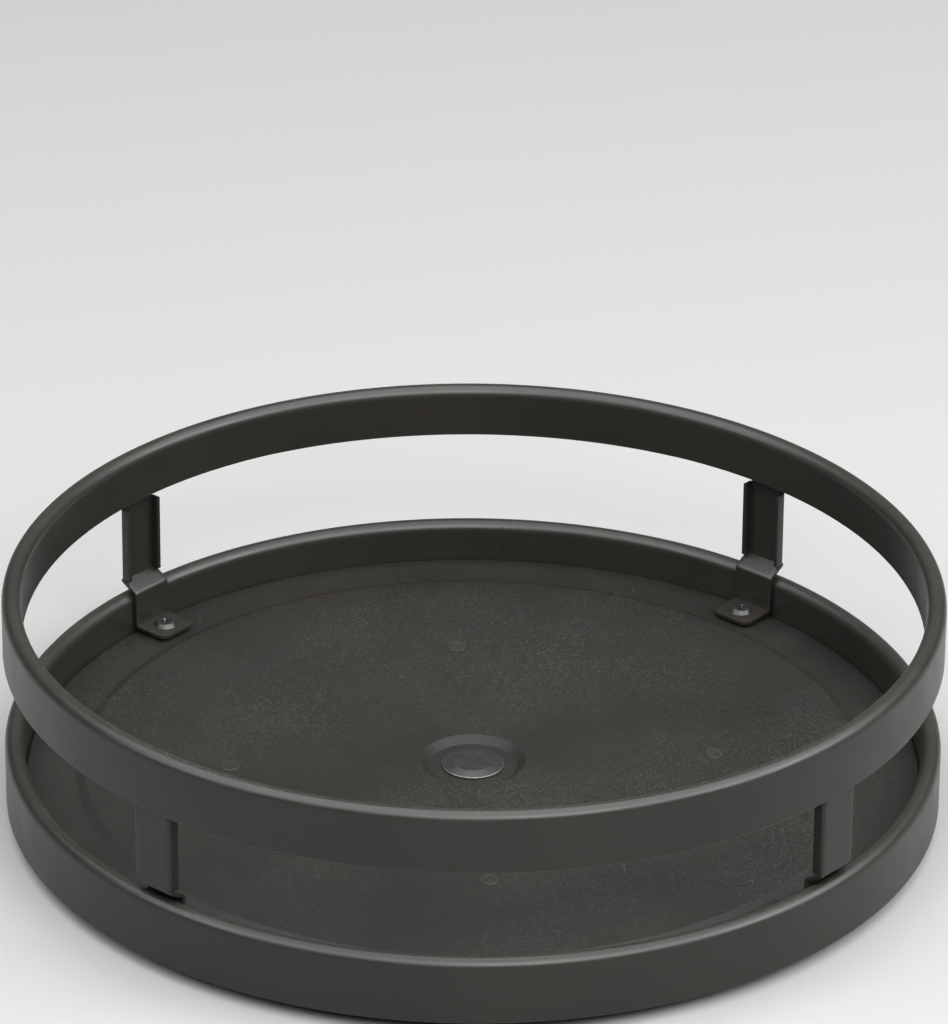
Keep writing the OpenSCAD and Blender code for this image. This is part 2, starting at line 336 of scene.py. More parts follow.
def fine_scratches(tree):
    """Mask of hairline scratches that run two ways across the floor."""
    lengthwise = remap(tree, noise(tree, 30, 8, stretch=(60, 1.5, 1), rough=0.6), 0.66, 0.7, 0, 1)
    crosswise = remap(tree, noise(tree, 30, 8, stretch=(2, 45, 1), rough=0.6), 0.68, 0.72, 0, 1)
    lines = maths(tree, "MAXIMUM", lengthwise, crosswise)
    return maths(tree, "MULTIPLY", lines, remap(tree, noise(tree, 9, 2), 0.45, 0.65, 0, 1))


def finish(tree, shader, tone, rough, relief=None):
    """Links the colour, the roughness and the bump to the shader."""
    tree.links.new(tone, shader.inputs["Base Color"])
    tree.links.new(rough, shader.inputs["Roughness"])
    if relief:
        tree.links.new(relief, shader.inputs["Normal"])


def powder_coat(name, dark, light, specular, matting=0.0, scratched=False):
    """Satin powder coat: orange peel, slow changes of tone and gloss, burnished edges and some dust."""
    material, tree, shader = new_material(name)
    burnished, dusty, scratch = (0.11, 0.108, 0.1, 1), (0.3, 0.29, 0.27, 1), (0.2, 0.19, 0.18, 1)
    edges = worn_edges(tree)
    dust = settled_dust(tree)
    tone = mix_colour(tree, remap(tree, noise(tree, 22, 4), 0.3, 0.7, 0, 1), dark, light)
    tone = mix_colour(tree, maths(tree, "MULTIPLY", edges, 0.5), tone, burnished)
    tone = mix_colour(tree, maths(tree, "MULTIPLY", dust, 0.22), tone, dusty)
    rough = remap(tree, noise(tree, 55, 5), 0.3, 0.7, 0.34 + matting, 0.42 + matting)
    rough = maths(tree, "SUBTRACT", rough, maths(tree, "MULTIPLY", edges, 0.08))
    rough = maths(tree, "ADD", rough, maths(tree, "MULTIPLY", dust, 0.3))
    if scratched:
        lines = fine_scratches(tree)
        tone = mix_colour(tree, maths(tree, "MULTIPLY", lines, 0.12), tone, scratch)
        rough = maths(tree, "ADD", rough, maths(tree, "MULTIPLY", lines, 0.12))
    peel = bump(tree, noise(tree, 780, 2), 0.00003, 0.35)
    finish(tree, shader, tone, rough, peel)
    shader.inputs["Specular IOR Level"].default_value = specular
    return material


def zinc_plate(name):
    """Bright zinc on steel: cloudy passivation, fine drawing lines and rubbed edges."""
    material, tree, shader = new_material(name)
    clouds = remap(tree, noise(tree, 120, 5), 0.3, 0.7, 0, 1)
    tone = mix_colour(tree, clouds, (0.47, 0.48, 0.49, 1), (0.62, 0.62, 0.6, 1))
    tone = mix_colour(tree, worn_edges(tree), tone, (0.75, 0.75, 0.74, 1))
    lines = noise(tree, 500, 3, stretch=(1, 1, 8))
    rough = remap(tree, lines, 0.3, 0.7, 0.26, 0.42)
    finish(tree, shader, tone, rough, bump(tree, lines, 0.00001, 0.5))
    shader.inputs["Metallic"].default_value = 1
    return material


def ball_steel(name):
    """Polished bearing steel with a thin, uneven film of grease."""
    material, tree, shader = new_material(name)
    film = noise(tree, 160, 4)
    tone = mix_colour(tree, film, (0.62, 0.62, 0.63, 1), (0.78, 0.77, 0.74, 1))
    finish(tree, shader, tone, remap(tree, film, 0.35, 0.7, 0.06, 0.22))
    shader.inputs["Metallic"].default_value = 1
    return material


def black_oxide(name):
    """Black oxide on steel, rubbed to bare metal along the edges."""
    material, tree, shader = new_material(name)
    edges = worn_edges(tree, 900, 0.4)
    tone = mix_colour(tree, noise(tree, 300, 4), (0.022, 0.022, 0.023, 1), (0.05, 0.049, 0.046, 1))
    tone = mix_colour(tree, maths(tree, "MULTIPLY", edges, 0.6), tone, (0.3, 0.3, 0.29, 1))
    rough = remap(tree, noise(tree, 700, 4), 0.3, 0.7, 0.3, 0.46)
    finish(tree, shader, tone, rough, bump(tree, noise(tree, 1800, 3), 0.00001, 0.6))
    shader.inputs["Metallic"].default_value = 0.7
    return material


def nylon(name):
    """Natural nylon: milky, with a faint moulded grain."""
    material, tree, shader = new_material(name)
    tone = mix_colour(tree, noise(tree, 90, 3), (0.66, 0.63, 0.54, 1), (0.74, 0.72, 0.64, 1))
    rough = remap(tree, noise(tree, 400, 3), 0.3, 0.7, 0.38, 0.52)
    finish(tree, shader, tone, rough, bump(tree, noise(tree, 1500, 2), 0.00002, 0.4))
    shader.inputs["Subsurface Weight"].default_value = 0.15
    shader.inputs["Subsurface Radius"].default_value = (0.002, 0.0018, 0.0014)
    return material


def rubber(name):
    """Matt black rubber, a little chalky along its edges."""
    material, tree, shader = new_material(name)
    chalk = maths(tree, "MULTIPLY", worn_edges(tree, 700, 0.6), 0.5)
    tone = mix_colour(tree, noise(tree, 150, 4), (0.016, 0.016, 0.016, 1), (0.028, 0.027, 0.026, 1))
    tone = mix_colour(tree, chalk, tone, (0.09, 0.088, 0.084, 1))
    rough = remap(tree, noise(tree, 600, 3), 0.3, 0.7, 0.66, 0.82)
    finish(tree, shader, tone, rough, bump(tree, noise(tree, 2200, 3), 0.00004, 0.6))
    return material


# ---------------------------------------------------------------- the tray

TRAY_STEPS = 384

# Room under a band's inner wall, and what keeps the inside and the outside of its fold apart
RETURN_GAP = 0.003
FOLD_SHORT = 1e-6


def hoop_angles(seam):
    """Angles round a hoop, close together where it was welded."""
    close, half_count = 0.0015, 6
    near = [math.radians(seam) + k * close for k in range(-half_count, half_count + 1)]
    clear = close * half_count + 0.002
    keep = [a for a in even_angles(TRAY_STEPS) if abs(a - math.radians(seam)) > clear]
    return sorted(keep + near)


def hoop_sway(seam, outer_r):
    """How far a hoop is drawn in at each angle: a trace between the posts, and the ground weld."""
    sag, weld_depth, weld_width = 0.00004, 0.00012, 0.0005

    def sway(angle):
        between = (1 - math.cos(len(POSTS) * (angle - math.radians(FIRST_POST)))) / 2
        uneven = 1.2 + 0.8 * math.sin(3 * angle + 1)
        spring = sag * between * uneven
        along = (angle - math.radians(seam)) * outer_r
        return spring + weld_depth * math.exp(-((along / weld_width) ** 2))
    return sway


def folded_hoop(name, node, seam, material):
    """A strip rolled into a hoop and folded inwards over its top edge, down to a second wall."""
    low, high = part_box(node)
    outer, inner = high.x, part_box("tray_floor")[1].x
    around = (outer - inner) / 2 - FOLD_SHORT
    within = around - BAND_T
    outline = rounded([
        (outer, low.z, CUT_EDGE),
        (outer, high.z, around),
        (inner, high.z, around),
        (inner, low.z + RETURN_GAP, CUT_EDGE),
        (inner + BAND_T, low.z + RETURN_GAP, CUT_EDGE),
        (inner + BAND_T, high.z - BAND_T, within),
        (outer - BAND_T, high.z - BAND_T, within),
        (outer - BAND_T, low.z, CUT_EDGE),
    ], steps=12)
    bm = bmesh.new()
    turn(bm, outline, hoop_angles(seam), sway=hoop_sway(seam, outer))
    add_piece(name, bm, "turntable", [node], material)


def sheet_outline(path, thickness, bend):
    """Closed outline of a bent sheet, from its upper side's (radius, height) corners, going outwards."""
    upper = [Vector(p) for p in path]
    last = len(path) - 1
    under = []
    for i, here in enumerate(upper):
        before = (here - upper[i - 1]).normalized() if i else (upper[1] - here).normalized()
        after = (upper[i + 1] - here).normalized() if i < last else before
        down_before = Vector((before.y, -before.x))
        down_after = Vector((after.y, -after.x))
        middle = (down_before + down_after).normalized()
        under.append(here + middle * thickness / middle.dot(down_before))
    cut_edge = thickness * 0.3
    fillets = [cut_edge if i in (0, last) else bend for i in range(last + 1)]
    sides = list(zip(upper, fillets)) + list(zip(under, fillets))[::-1]
    return rounded([(p.x, p.y, fillet) for p, fillet in sides])


# The floor's well, the run of the step down to its gutter, and the room inside the posts' feet
WELL_DEPTH, WELL_FLAT_R, WELL_TOP_R = 0.002, 0.014, 0.017
GUTTER_STEP, GUTTER_ROOM = 0.003, 0.002
FLOOR_BEND = 0.0012

# The floor's holes, and the gap round a rivet that is set flush in it
BOLT_HOLE_R = 0.0041
SCREW_HOLE_R = 0.00215
RIVET_GAP = 0.00012


def floor_sheet(material):
    """The pressed floor: a well for the pivot, a raised field, a gutter and a flange inside the rim."""
    low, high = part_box("tray_floor")
    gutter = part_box("post_nuts")[1].z + FLOOR_T
    step_end = turned_box("post_rear_right", FIRST_POST)[0].x - GUTTER_ROOM
    well = high.z - WELL_DEPTH
    path = [
        (BOLT_HOLE_R, well), (WELL_FLAT_R, well), (WELL_TOP_R, high.z), (step_end - GUTTER_STEP, high.z),
        (step_end, gutter), (high.x, gutter), (high.x, low.z),
    ]
    bm = bmesh.new()
    turn(bm, sheet_outline(path, FLOOR_T, FLOOR_BEND), even_angles(TRAY_STEPS))
    holes = [
        (round_hole(SCREW_HOLE_R, low.z, high.z), ring_places(len(POSTS), screw_circle(), FIRST_POST)),
        (rivet_sink(high.z), ring_places(RIVETS, rivet_circle("upper_race_rivets", RIVET_FLUSH_R))),
    ]
    add_piece(
        "floor_sheet", drilled(bm, holes), "turntable", ["tray_floor"], material, sharp=20
    )


def rivet_sink(top):
    """Outline of a countersunk hole for a rivet that is set flush with the floor."""
    below, above, mouth_r = top - 2 * FLOOR_T, top + 0.001, RIVET_FLUSH_R + RIVET_GAP
    just_above = top + 0.00001
    return [Vector(p) for p in (
        (0, below), (RIVET_SHANK_R, below), (RIVET_SHANK_R, top - FLOOR_T),
        (mouth_r, just_above), (mouth_r, above), (0, above),
    )]


# A post's bends above the rim, its channel between the bands, and its tabs
JOGGLE_HIGH, JOGGLE_LOW = 0.0038, 0.0006
LEG_GAP, LEG_BEND = 0.00025, 0.0005
CHANNEL_ABOVE_RIM, CHANNEL_BELOW_RAIL = 0.0042, 0.0004
CHANNEL_ROWS = 12
FLANGE_DEPTH = 0.0038
TAB_INSET, TAB_CORNER = 0.0015, 0.001
FOOT_CORNER = 0.003


def post_sheet(name, node, angle, material):
    """A pressed upright: tab in the rail's fold, channel face, joggle, leg inside the rim and foot tab."""
    low, high = turned_box(node, angle)
    face_x, half_w = high.x, high.y
    rim_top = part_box("tray_rim")[1].z
    channel = rim_top + CHANNEL_ABOVE_RIM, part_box("guard_rail")[0].z - CHANNEL_BELOW_RAIL
    leg_x = math.sqrt(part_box("tray_floor")[1].x ** 2 - half_w**2) - LEG_GAP
    lean = math.atan2(face_x - leg_x, JOGGLE_HIGH - JOGGLE_LOW)
    settle = POST_T / 2 * math.tan(lean / 2)
    foot_z = low.z + POST_T
    line = rounded([
        (face_x, high.z, 0), (face_x, rim_top + JOGGLE_HIGH - settle, POST_BEND),
        (leg_x, rim_top + JOGGLE_LOW - settle, LEG_BEND), (leg_x, foot_z, LEG_BEND), (low.x, foot_z, 0),
    ], closed=False)
    bm = bmesh.new()
    strip(bm, tab_rows(face_x, high.z, half_w - TAB_INSET, channel[1])
          + channel_rows(face_x, channel, half_w)
          + leg_rows(line, channel[0], half_w)
          + foot_rows(line[-2].x, low.x, foot_z, half_w))
    for side in (-1, 1):
        flange(bm, face_x, half_w, side, channel)
    loose = 1e-6
    bmesh.ops.remove_doubles(bm, verts=bm.verts, dist=loose)
    bmesh.ops.recalc_face_normals(bm, faces=bm.faces)
    outward = next(f for f in bm.faces if f.calc_center_median().x > face_x - 10 * loose)
    if outward.normal.x < 0:
        bmesh.ops.reverse_faces(bm, faces=bm.faces)

    def thicken(piece):
        solid = piece.modifiers.new("thickness", "SOLIDIFY")
        solid.thickness = POST_T
        solid.offset = -1
        solid.use_even_offset = True
        edges = piece.modifiers.new("edges", "BEVEL")
        edges.width = CUT_EDGE
        edges.segments = 2
        edges.limit_method = "ANGLE"
        edges.angle_limit = math.radians(50)

    bm = with_modifiers(bm, thicken)
    bmesh.ops.transform(bm, matrix=Matrix.Rotation(math.radians(angle), 4, "Z"), verts=bm.verts)
    add_piece(name, bm, "turntable", [node], material)


# The functions that end in _rows give rows of a post's strip, as (x, z, half width), from the top down

def rounded_half(half, corner, run):
    """Half width of a strip with rounded corners, at a distance run beyond the corners' centres."""
    return half - corner + math.sqrt(max(corner**2 - run**2, 0))


def tab_rows(x, top, half, channel_high):
    """The tab in the rail's fold, with its upper corners rounded. Its last rows lie close together
    just above the channel, where the strip steps to the channel's width."""
    flat_from, close, closest = top - 0.006, channel_high + 0.001, channel_high + 0.0002
    drops = [TAB_CORNER * k / 4 for k in range(5)]
    rows = [(x, top - drop, rounded_half(half, TAB_CORNER, TAB_CORNER - drop)) for drop in drops]
    return rows + [(x, z, half) for z in (flat_from, close, closest)]


def channel_heights(channel):
    """Heights of the channel's rows, which its face and its flanges share."""
    low, high = channel
    return [high - (high - low) * k / CHANNEL_ROWS for k in range(CHANNEL_ROWS + 1)]


def channel_rows(x, channel, half_w):
    """The flat of the channel's face, up to its side bends."""
    return [(x, z, half_w - POST_BEND) for z in channel_heights(channel)]


def leg_rows(line, channel_low, half_w):
    """The joggle and the leg, along the part of the post's line that is clear of the channel."""
    clear = 0.0001
    return [(p.x, p.y, half_w) for p in line[1:-1] if p.y < channel_low - clear]


def foot_rows(start, end, z, half_w):
    """The foot tab, with its inner corners rounded."""
    centre = end + FOOT_CORNER
    rows = [(start + (centre - start) * k / 4, z, half_w) for k in range(1, 5)]
    runs = [FOOT_CORNER * math.sin(math.pi / 2 * k / 6) for k in range(1, 7)]
    return rows + [(centre - run, z, rounded_half(half_w, FOOT_CORNER, run)) for run in runs]


def strip(bm, rows):
    """A ribbon through rows of (x, z, half width)."""
    across = 8
    ribbon(bm, [
        [bm.verts.new((x, half * (2 * i / across - 1), z)) for i in range(across + 1)] for x, z, half in rows
    ])


def flange(bm, face_x, half_w, side, channel):
    """One side of the channel: a bend, then a flat flange."""
    centre_x, centre_y = face_x - POST_BEND, half_w - POST_BEND
    edge_x = face_x - FLANGE_DEPTH
    turns = [math.pi / 2 * i / ARC_STEPS for i in range(ARC_STEPS + 1)]
    bend = [(centre_x + POST_BEND * math.cos(a), centre_y + POST_BEND * math.sin(a)) for a in turns]
    section = bend + [((centre_x + edge_x) / 2, half_w), (edge_x, half_w)]
    ribbon(bm, [[bm.verts.new((x, side * y, z)) for x, y in section] for z in channel_heights(channel)])


# ---------------------------------------------------------------- hardware

# Heads, shanks and flats, as in the CAD model
RIVET_FLUSH_R = 0.0032
RIVET_HEAD_R = 0.0028
RIVET_SHANK_R = 0.0016
SCREW_HEAD_R, SCREW_HEAD_H, SCREW_SHANK_R = 0.004, 0.0025, 0.00195
NUT_FLATS = 0.007
PIVOT_HEAD_H, PIVOT_SHANK_R = 0.0017, 0.004

# Threads, which only the looks have: their pitch, the post nut's bore, the plain stretch above the
# bolt's thread, and how far a head's shank runs into its thread
THREAD_PITCH = 0.0007
NUT_BORE_R = 0.00197
PIVOT_SHOULDER = 0.003
OVERLAP = 0.0001


def rivet_circle(node, head_r):
    """Radius of the circle that a ring of rivets stands on, from the rivet on +X."""
    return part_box(node)[1].x - head_r


def screw_circle():
    """Radius of the circle that the post screws stand on, from the screw half way between +X and +Y."""
    return (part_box("post_screws")[1].x - SCREW_HEAD_R) * math.sqrt(2)


def hex_radius(angle, flats):
    """Distance from a hexagon's centre to its side, in the direction of angle."""
    sector = math.pi / 3
    return flats / 2 / math.cos((angle % sector) - sector / 2)


def hex_nut(bm, flats, low, high, bore, place, steps=96):
    """A hexagon nut with 30 degree chamfers on both faces and a countersunk bore."""
    face_r = flats / 2 * 0.95
    sink = 0.0004
    slope = math.tan(math.radians(30))
    columns = []
    for a in even_angles(steps):
        corner = hex_radius(a, flats)
        drop = (corner - face_r) * slope
        column = [
            (bore, low + sink), (bore + sink, low), (face_r, low), (corner, low + drop),
            (corner, high - drop), (face_r, high), (bore + sink, high), (bore, high - sink),
        ]
        columns.append([bm.verts.new((r * math.cos(a), r * math.sin(a), z)) for r, z in column])
    skin(bm, columns)
    bmesh.ops.transform(bm, matrix=place, verts=[v for column in columns for v in column])


def threaded_end(bm, radius, low, high, place, steps=36):
    """The threaded stretch of a shank: one helix of ridges that fades out at its tapered end."""
    depth, taper, rows_per_turn = THREAD_PITCH / 2, 0.0005, 8
    rows = int((high - low) / THREAD_PITCH * rows_per_turn)
    columns = []
    for a in even_angles(steps):
        column = [bm.verts.new((0, 0, low))]
        for k in range(rows + 1):
            z = low + (high - low) * k / rows
            phase = 2 * math.pi * (z / THREAD_PITCH) - a
            ease = min(1, (z - low) / THREAD_PITCH)
            r = radius - depth * (0.5 - 0.5 * math.cos(phase)) - taper * (1 - ease)
            column.append(bm.verts.new((r * math.cos(a), r * math.sin(a), z)))
        column.append(bm.verts.new((0, 0, high)))
        columns.append(column)
    skin(bm, columns, closed=False)
    bmesh.ops.transform(bm, matrix=place, verts=[v for column in columns for v in column])


def cross_recess(top):
    """The tapering cross that a driver fits, as a bmesh to cut with.
    An arm's floor and mouth are (half length, half width, height)."""
    floor_end, mouth_end = (0.0011, 0.00032, top - 0.0013), (0.0021, 0.00045, top + 0.0004)
    bm = bmesh.new()
    for angle in (0, 90):
        corners = []
        for half_x, half_y, z in (floor_end, mouth_end):
            corners += [(x * half_x, y * half_y, z) for x, y in ((-1, -1), (1, -1), (1, 1), (-1, 1))]
        verts = [bm.verts.new(c) for c in corners]
        for loop in ((3, 2, 1, 0), (4, 5, 6, 7), (0, 1, 5, 4), (1, 2, 6, 5), (2, 3, 7, 6), (3, 0, 4, 7)):
            bm.faces.new([verts[i] for i in loop])
        bmesh.ops.transform(bm, matrix=Matrix.Rotation(math.radians(angle), 4, "Z"), verts=verts)
    return bm


def post_screws(material):
    """Four pan-head screws with a cross recess, through the posts' feet and the floor."""
    low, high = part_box("post_screws")
    seat = high.z - SCREW_HEAD_H
    shank_low = seat - 2 * OVERLAP
    side, dome = 0.001, 0.0011
    outline = rounded([
        (0, shank_low, 0), (SCREW_SHANK_R, shank_low, 0), (SCREW_SHANK_R, seat, 0),
        (SCREW_HEAD_R, seat, 0.0001), (SCREW_HEAD_R, seat + side, 0.0002),
        (SCREW_HEAD_R - dome, high.z, 0.0009), (0, high.z, 0),
    ], closed=False)
    head = bmesh.new()
    turn(head, outline, even_angles(72), closed=False)
    head = cut_out(head, cross_recess(high.z), crossing=True)
    one = bpy.data.meshes.new("one_head")
    head.to_mesh(one)
    head.free()
    bm = bmesh.new()
    for i, place in enumerate(ring_places(len(POSTS), screw_circle(), FIRST_POST)):
        before = len(bm.verts)
        bm.from_mesh(one)
        bm.verts.ensure_lookup_table()
        tightened_to = math.radians(23 + 31 * i)
        spin = Matrix.Rotation(tightened_to, 4, "Z")
        bmesh.ops.transform(bm, matrix=place @ spin, verts=bm.verts[before:])
        threaded_end(bm, SCREW_SHANK_R, low.z, seat - OVERLAP, place)
    bpy.data.meshes.remove(one)
    add_piece("post_screw_set", bm, "turntable", ["post_screws"], material)


def post_nuts(material):
    """Four hexagon nuts under the floor, on the post screws."""
    low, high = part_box("post_nuts")
    bm = bmesh.new()
    for place in ring_places(len(POSTS), screw_circle(), FIRST_POST):
        hex_nut(bm, NUT_FLATS, low.z, high.z, NUT_BORE_R, place)
    add_piece("post_nut_set", bm, "turntable", ["post_nuts"], material, sharp=20)


def flush_rivets(material):
    """The upper race's rivets, flush with the floor and with a low head under the race."""
    low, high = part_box("upper_race_rivets")
    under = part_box("upper_race")[0].z
    outline = rounded([
        (0, low.z, 0), (RIVET_HEAD_R, low.z, 0.0005), (RIVET_HEAD_R, under, 0.0001),
        (RIVET_SHANK_R, under, 0), (RIVET_SHANK_R, high.z - FLOOR_T, 0), (RIVET_FLUSH_R, high.z, 0.0001),
        (0, high.z, 0),
    ], closed=False)
    bm = bmesh.new()
    for place in ring_places(RIVETS, rivet_circle("upper_race_rivets", RIVET_FLUSH_R)):
        turn(bm, outline, even_angles(48), closed=False, place=place)
    add_piece("flush_rivet_set", bm, "turntable", ["upper_race_rivets"], material)


def base_rivets(material):
    """The lower race's rivets, with a low domed head at each end."""
    low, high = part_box("lower_race_rivets")
    plate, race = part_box("base_plate")[0].z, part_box("lower_race")[1].z
    outline = rounded([
        (0, low.z, 0), (RIVET_HEAD_R, low.z, 0.0006), (RIVET_HEAD_R, plate, 0.0001),
        (RIVET_SHANK_R, plate, 0), (RIVET_SHANK_R, race, 0), (RIVET_HEAD_R, race, 0.0001),
        (RIVET_HEAD_R, high.z, 0.0006), (0, high.z, 0),
    ], closed=False)
    bm = bmesh.new()
    for place in ring_places(RIVETS, rivet_circle("lower_race_rivets", RIVET_HEAD_R)):
        turn(bm, outline, even_angles(48), closed=False, place=place)
    add_piece("base_rivet_set", bm, "base", ["lower_race_rivets"], material)


def pivot_bolt(material):
    """Low round-headed bolt that the tray turns with."""
    low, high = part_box("pivot_bolt")
    seat = high.z - PIVOT_HEAD_H
    shoulder = seat - PIVOT_SHOULDER
    side, dome = 0.0007, 0.0035
    outline = rounded([
        (0, shoulder, 0), (PIVOT_SHANK_R, shoulder, 0), (PIVOT_SHANK_R, seat, 0), (high.x, seat, 0.0001),
        (high.x, seat + side, 0.0003), (high.x - dome, high.z, 0.004), (0, high.z, 0),
    ], closed=False, steps=10)
    bm = bmesh.new()
    turn(bm, outline, even_angles(128), closed=False)
    threaded_end(bm, PIVOT_SHANK_R, low.z, shoulder + OVERLAP, Matrix.Identity(4), steps=72)
    add_piece("pivot_bolt_head", bm, "turntable", ["pivot_bolt"], material)


def pivot_lock_nut(material):
    """Hexagon lock nut with the round collar of its insert underneath."""
    low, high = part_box("pivot_nut")
    collar_z, bore, collar_r = low.z + 0.0013, 0.00402, high.y - 0.0006
    bm = bmesh.new()
    hex_nut(bm, 2 * high.y, collar_z, high.z, bore, Matrix.Identity(4), steps=144)
    outline = rounded([
        (BOLT_HOLE_R, collar_z, 0.0001), (BOLT_HOLE_R, low.z, 0.0003), (collar_r, low.z, 0.0004),
        (collar_r, collar_z, 0.0001),
    ])
    turn(bm, outline, even_angles(96))
    add_piece("pivot_lock_nut", bm, "turntable", ["pivot_nut"], material, sharp=20)


def pivot_washer(material):
    """Stamped steel washer, with its edges rolled over on the punch's side."""
    low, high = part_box("pivot_washer")
    bore = 0.0042
    outline = rounded([
        (bore, low.z, 0.0001), (high.x, low.z, 0.0003), (high.x, high.z, 0.0001), (bore, high.z, 0.0003),
    ])
    bm = bmesh.new()
    turn(bm, outline, even_angles(96))
    add_piece("pivot_washer_ring", bm, "turntable", ["pivot_washer"], material)


# ---------------------------------------------------------------- the base

# Radii of the hub's hole, top and foot, the lip's height and the plate's bends
SLEEVE_R, HUB_TOP_R, HUB_FOOT_R = 0.0055, 0.034, 0.042
LIP_H = 0.0035
BASE_BEND = 0.0015

# Radii of a rubber foot's neck and head, and where the first foot stands, in degrees from +X
FOOT_NECK_R, FOOT_HEAD_R = 0.0035, 0.005
FIRST_FOOT = 90


def base_sheet(material):
    """The base plate: a raised hub for the pivot, a flat field and a turned-up lip."""
    low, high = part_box("base_plate")
    top = low.z + BASE_T
    lip_r = high.x - BASE_T
    path = [
        (SLEEVE_R, high.z), (HUB_TOP_R, high.z), (HUB_FOOT_R, top), (lip_r, top), (lip_r, top + LIP_H),
    ]
    bm = bmesh.new()
    turn(bm, sheet_outline(path, BASE_T, BASE_BEND), even_angles(320))
    foot_circle = (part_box("foot_1")[0].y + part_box("foot_1")[1].y) / 2
    rivet_places = ring_places(RIVETS, rivet_circle("lower_race_rivets", RIVET_HEAD_R))
    holes = [
        (round_hole(FOOT_NECK_R, low.z, top), ring_places(FEET, foot_circle, FIRST_FOOT)),
        (round_hole(RIVET_SHANK_R, low.z, top), rivet_places),
    ]
    add_piece("base_sheet", drilled(bm, holes), "base", ["base_plate"], material)


def rubber_foot(number, material):
    """Push-in bumper: a pad with a softened rim, a neck and a rounded head."""
    node = f"foot_{number}"
    low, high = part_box(node)
    pad = (high.x - low.x) / 2
    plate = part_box("base_plate")[0].z
    plate_top = plate + BASE_T
    widest_z, sole_inset, pad_taper, head_taper = 0.001, 0.0004, 0.0006, 0.0004
    outline = rounded([
        (0, 0, 0), (pad - sole_inset, 0, 0.0005), (pad, widest_z, 0.0006),
        (pad - pad_taper, plate, 0.0004), (FOOT_NECK_R, plate, 0), (FOOT_NECK_R, plate_top, 0),
        (FOOT_HEAD_R, plate_top, 0.0003), (FOOT_HEAD_R - head_taper, high.z, 0.0009), (0, high.z, 0),
    ], closed=False)
    centre = (low + high) / 2
    bm = bmesh.new()
    turn(bm, outline, even_angles(72), closed=False, place=Matrix.Translation((centre.x, centre.y, 0)))
    add_piece(f"rubber_{node}", bm, "base", [node], material)


# ---------------------------------------------------------------- the bearing

# Gap between a ball and its groove or pocket, and points along a groove
GROOVE_GAP = 0.00015
GROOVE_STEPS = 14


def ball_track():
    """Radius of the ball circle, height of the balls' centres and radius of a ball."""
    low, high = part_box("bearing_balls")
    ball_r = (high.z - low.z) / 2
    return high.x - ball_r, low.z + ball_r, ball_r


def race_ring(name, node, body, rivet_r, material):
    """Flat steel ring with a ball groove in the face that is nearest the balls."""
    low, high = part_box(node)
    track, ball_z, ball_r = ball_track()
    under = high.z < ball_z
    face, back = (high.z, low.z) if under else (low.z, high.z)
    groove = ball_r + GROOVE_GAP
    first = math.asin((face - ball_z) / groove)
    last = math.copysign(math.pi, first) - first
    inner = 2 * track - high.x
    arc = [first + (last - first) * k / GROOVE_STEPS for k in range(GROOVE_STEPS + 1)]
    corners = [(track + groove * math.cos(a), ball_z + groove * math.sin(a), 0) for a in arc]
    corners += [(inner, face, 0.0003), (inner, back, 0.0004), (high.x, back, 0.0004), (high.x, face, 0.0003)]
    bm = bmesh.new()
    turn(bm, rounded(corners), even_angles(256))
    rivets = (round_hole(RIVET_SHANK_R, low.z, high.z), ring_places(RIVETS, rivet_r))
    add_piece(name, drilled(bm, [rivets]), body, [node], material, sharp=25)


def cage_ring(material):
    """Nylon ring with one bevelled pocket for each ball."""
    low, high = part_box("ball_cage")
    track, _, ball_r = ball_track()
    inner = 2 * track - high.x
    bevel, past, edge = 0.0003, 0.0005, 0.0004
    outline = rounded([
        (inner, low.z, edge), (high.x, low.z, edge), (high.x, high.z, edge), (inner, high.z, edge),
    ])
    pocket = ball_r + GROOVE_GAP
    hole = [Vector(p) for p in (
        (0, low.z - past), (pocket + bevel + past, low.z - past), (pocket, low.z + bevel),
        (pocket, high.z - bevel), (pocket + bevel + past, high.z + past), (0, high.z + past),
    )]
    bm = bmesh.new()
    turn(bm, outline, even_angles(288))
    bm = drilled(bm, [(hole, ring_places(BALLS, track))])
    add_piece("cage_ring", bm, "ball_cage", ["ball_cage"], material, sharp=25)


def thrust_ring(material):
    """Thin nylon washer between the floor's well and the bushing."""
    low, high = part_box("thrust_washer")
    outline = rounded([
        (BOLT_HOLE_R, low.z, 0.0001), (high.x, low.z, 0.0002), (high.x, high.z, 0.0002),
        (BOLT_HOLE_R, high.z, 0.0001),
    ])
    bm = bmesh.new()
    turn(bm, outline, even_angles(128))
    add_piece("thrust_ring", bm, "turntable", ["thrust_washer"], material)


def flanged_bushing(material):
    """Nylon bushing: a sleeve in the base plate's hub, with a wide flange on top."""
    low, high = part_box("pivot_bushing")
    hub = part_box("base_plate")[1].z
    bore = 0.00405
    outline = rounded([
        (bore, low.z, 0.0003), (SLEEVE_R, low.z, 0.0003), (SLEEVE_R, hub, 0.0002),
        (high.x, hub, 0.0003), (high.x, high.z, 0.0004), (bore, high.z, 0.0003),
    ])
    bm = bmesh.new()
    turn(bm, outline, even_angles(128))
    add_piece("flanged_bushing", bm, "base", ["pivot_bushing"], material)


def finish_balls(material):
    """The balls keep their CAD spheres, with a better material."""
    balls = CAD["bearing_balls"]
    for slot in balls.material_slots:
        slot.material = material


# ---------------------------------------------------------------- the studio

def add_floor():
    """Pale matt floor, wide enough to be the background as well."""
    bpy.ops.mesh.primitive_plane_add(size=12)
    floor = bpy.context.object
    floor.name = "studio_floor"
    material, _, shader = new_material("studio_floor")
    shader.inputs["Base Color"].default_value = (0.245, 0.245, 0.242, 1)
    shader.inputs["Roughness"].default_value = 0.9
    shader.inputs["Specular IOR Level"].default_value = 0.1
    floor.data.materials.append(material)


